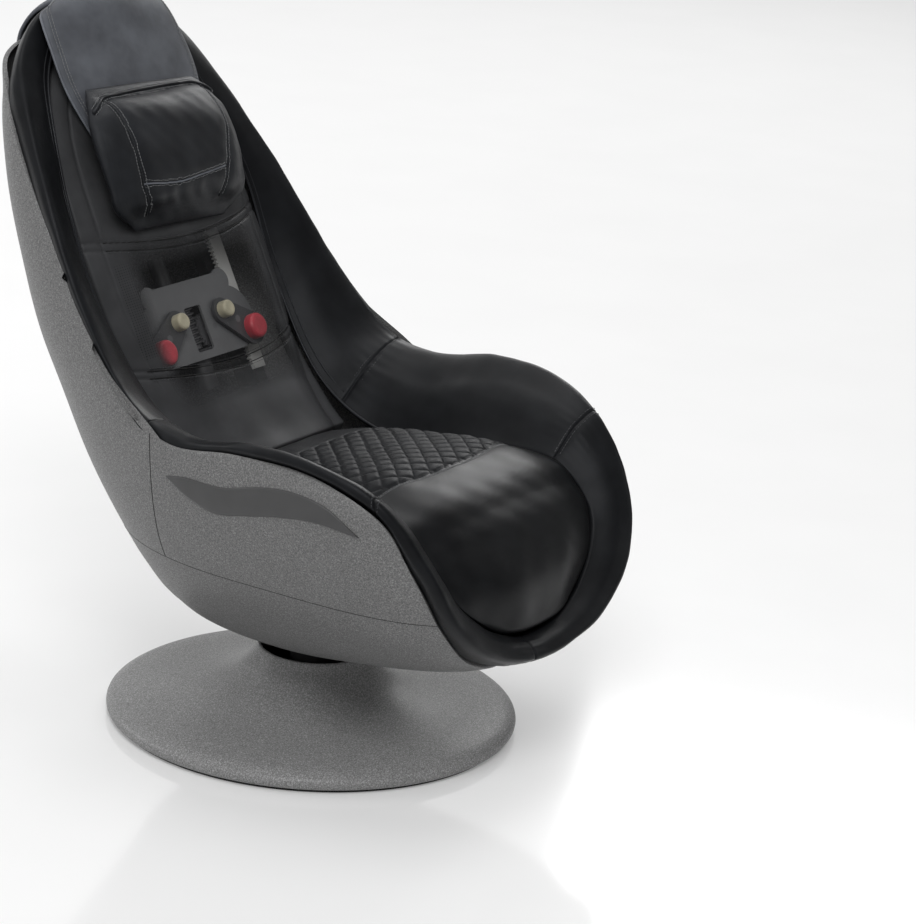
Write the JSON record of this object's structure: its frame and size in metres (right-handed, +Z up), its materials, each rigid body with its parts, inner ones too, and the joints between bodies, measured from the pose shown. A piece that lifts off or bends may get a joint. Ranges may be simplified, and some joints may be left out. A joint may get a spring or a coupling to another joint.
{
  "type": "massage lounge chair",
  "caption": "Egg-shaped massage lounge chair on a round swivel foot, with a padded black seat, a grey shell and a moving kneading carriage behind the back cover.",
  "frame": {"origin": "on the floor, on the swivel axis", "axes": "+Z up, the sitter looks towards -Y, +X is the sitter's left"},
  "size_m": [0.7152, 1.003, 1.1107],
  "materials": {
    "mat": "matt, ribbed",
    "steel": "black powder coat",
    "bright": "zinc plated",
    "grey_fabric": "grey melange weave over a hard shell",
    "bronze": "sintered bearing bronze",
    "nylon": "natural nylon",
    "gear": "natural acetal",
    "worm_steel": "ground steel",
    "board": "plywood",
    "housing": "fine texture",
    "foam": "open cell foam",
    "black_leather": "soft grain, satin",
    "stretch_cover": "sheer stretch cloth",
    "plate": "moulded",
    "arm": "cast, painted",
    "red_head": "moulded soft rubber",
    "beige_head": "moulded soft rubber"
  },
  "bodies": {
    "base": {"anti_slip_mat": "mat", "floor_plate": "steel", "foot_cover": "grey_fabric", "column": "steel", "column_bolts": "bright", "swivel_bush": "bronze", "thrust_washer": "nylon"},
    "chair": {"swivel_spindle": "bright", "saddle_plate": "steel", "saddle_bolts": "bright", "seat_frame_left": "steel", "seat_frame_right": "steel", "front_cross_tube": "steel", "rear_cross_tube": "steel", "seat_deck": "board", "front_former": "board", "control_box": "housing", "back_upright_left": "steel", "back_upright_right": "steel", "guide_rail_left": "steel", "guide_rail_right": "steel", "rack_left": "nylon", "rack_right": "nylon", "back_foam_left": "foam", "back_foam_right": "foam", "upper_back_foam": "foam", "belly_pan": "grey_fabric", "rear_shell": "grey_fabric", "side_shell_left": "grey_fabric", "side_shell_right": "grey_fabric", "rim_back": "black_leather", "arm_roll_left": "black_leather", "arm_roll_right": "black_leather", "front_apron": "black_leather", "seat_cushion": "black_leather", "back_cover": "stretch_cover", "power_inlet": "housing", "crown_strip": "black_leather"},
    "carriage": {"carriage_plate": "plate", "gear_case": "housing", "knead_motor": "housing", "lift_gearbox": "housing", "glide_shoes": "nylon"},
    "knead_left": {"knead_gear_left": "gear", "knead_arm_left": "arm", "large_head_left": "red_head", "small_head_left": "beige_head"},
    "knead_right": {"knead_gear_right": "gear", "knead_arm_right": "arm", "large_head_right": "red_head", "small_head_right": "beige_head"},
    "idler_left": {"idler_gear_left": "gear"},
    "idler_right": {"idler_gear_right": "gear"},
    "worm_shaft": {"worm": "worm_steel"},
    "pinion_left": {"lift_pinion_left": "gear"},
    "pinion_right": {"lift_pinion_right": "gear"},
    "headrest": {"head_flap": "black_leather", "head_pillow": "black_leather"},
    "switch": {"switch_rocker": "housing"}
  },
  "joints": [
    {"name": "chair_swivel", "type": "hinge", "parent": "base", "child": "chair", "pos_m": [0, 0, 0.15], "axis": [0, 0, 1], "continuous": true},
    {"name": "carriage_lift", "type": "slide", "parent": "chair", "child": "carriage", "axis": [0, 0.4683, 0.8836], "range_m": [-0.1, 0.165]},
    {"name": "knead_left_spin", "type": "hinge", "parent": "carriage", "child": "knead_left", "pos_m": [0.09, 0.24671, 0.59509], "axis": [0, -0.8836, 0.4683], "continuous": true},
    {"name": "knead_right_spin", "type": "hinge", "parent": "carriage", "child": "knead_right", "pos_m": [-0.09, 0.24671, 0.59509], "axis": [0, -0.8836, 0.4683], "continuous": true},
    {"name": "idler_left_spin", "type": "hinge", "parent": "carriage", "child": "idler_left", "pos_m": [0.04, 0.27675, 0.57917], "axis": [0, -0.8836, 0.4683], "continuous": true},
    {"name": "idler_right_spin", "type": "hinge", "parent": "carriage", "child": "idler_right", "pos_m": [-0.04, 0.27675, 0.57917], "axis": [0, -0.8836, 0.4683], "continuous": true},
    {"name": "worm_spin", "type": "hinge", "parent": "carriage", "child": "worm_shaft", "pos_m": [0, 0.27675, 0.57917], "axis": [0, 0.4683, 0.8836], "continuous": true},
    {"name": "pinion_left_spin", "type": "hinge", "parent": "carriage", "child": "pinion_left", "pos_m": [0.114, 0.31127, 0.63896], "axis": [0, -0.8836, 0.4683], "continuous": true},
    {"name": "pinion_right_spin", "type": "hinge", "parent": "carriage", "child": "pinion_right", "pos_m": [-0.114, 0.31127, 0.63896], "axis": [0, -0.8836, 0.4683], "continuous": true},
    {"name": "headrest_flip", "type": "hinge", "parent": "chair", "child": "headrest", "pos_m": [0, 0.50325, 1.1085], "axis": [-1, 0, 0], "range_deg": [0, 210]},
    {"name": "power_switch", "type": "hinge", "parent": "chair", "child": "switch", "pos_m": [-0.02, 0.34923, 0.3748], "axis": [-1, 0, 0], "range_deg": [0, 14]}
  ],
  "couplings": [
    {"joint": "knead_right_spin", "follows": "knead_left_spin", "ratio": -1},
    {"joint": "idler_left_spin", "follows": "knead_left_spin", "ratio": -1},
    {"joint": "idler_right_spin", "follows": "knead_left_spin", "ratio": 1},
    {"joint": "worm_spin", "follows": "knead_left_spin", "ratio": -20},
    {"joint": "pinion_left_spin", "follows": "carriage_lift", "rad_per_m": -75.758},
    {"joint": "pinion_right_spin", "follows": "carriage_lift", "rad_per_m": 75.758}
  ]
}
